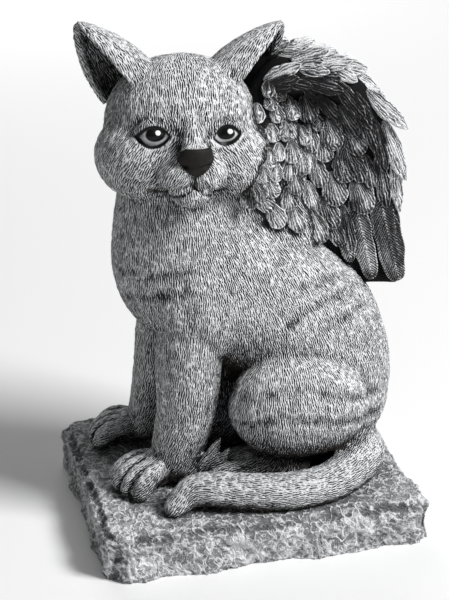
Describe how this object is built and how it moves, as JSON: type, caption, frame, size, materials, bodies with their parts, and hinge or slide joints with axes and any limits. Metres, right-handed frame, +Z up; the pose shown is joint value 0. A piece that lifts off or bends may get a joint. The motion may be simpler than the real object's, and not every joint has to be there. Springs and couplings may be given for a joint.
{
  "type": "pet memorial statue",
  "caption": "Seated winged cat on a rough square plinth, cast in one piece, with its head turned to its left and its tail round its side.",
  "frame": {"origin": "centre of the plinth's flat underside", "axes": "+Z up, -Y the way the cat's chest faces, +X the cat's left, where its head is turned"},
  "size_m": [0.1785, 0.2121, 0.3209],
  "materials": {
    "cast_stone": "matte, dark wash with a pale dry-brushed surface"
  },
  "bodies": {
    "root": {"winged_cat_statue": "cast_stone"}
  },
  "joints": []
}
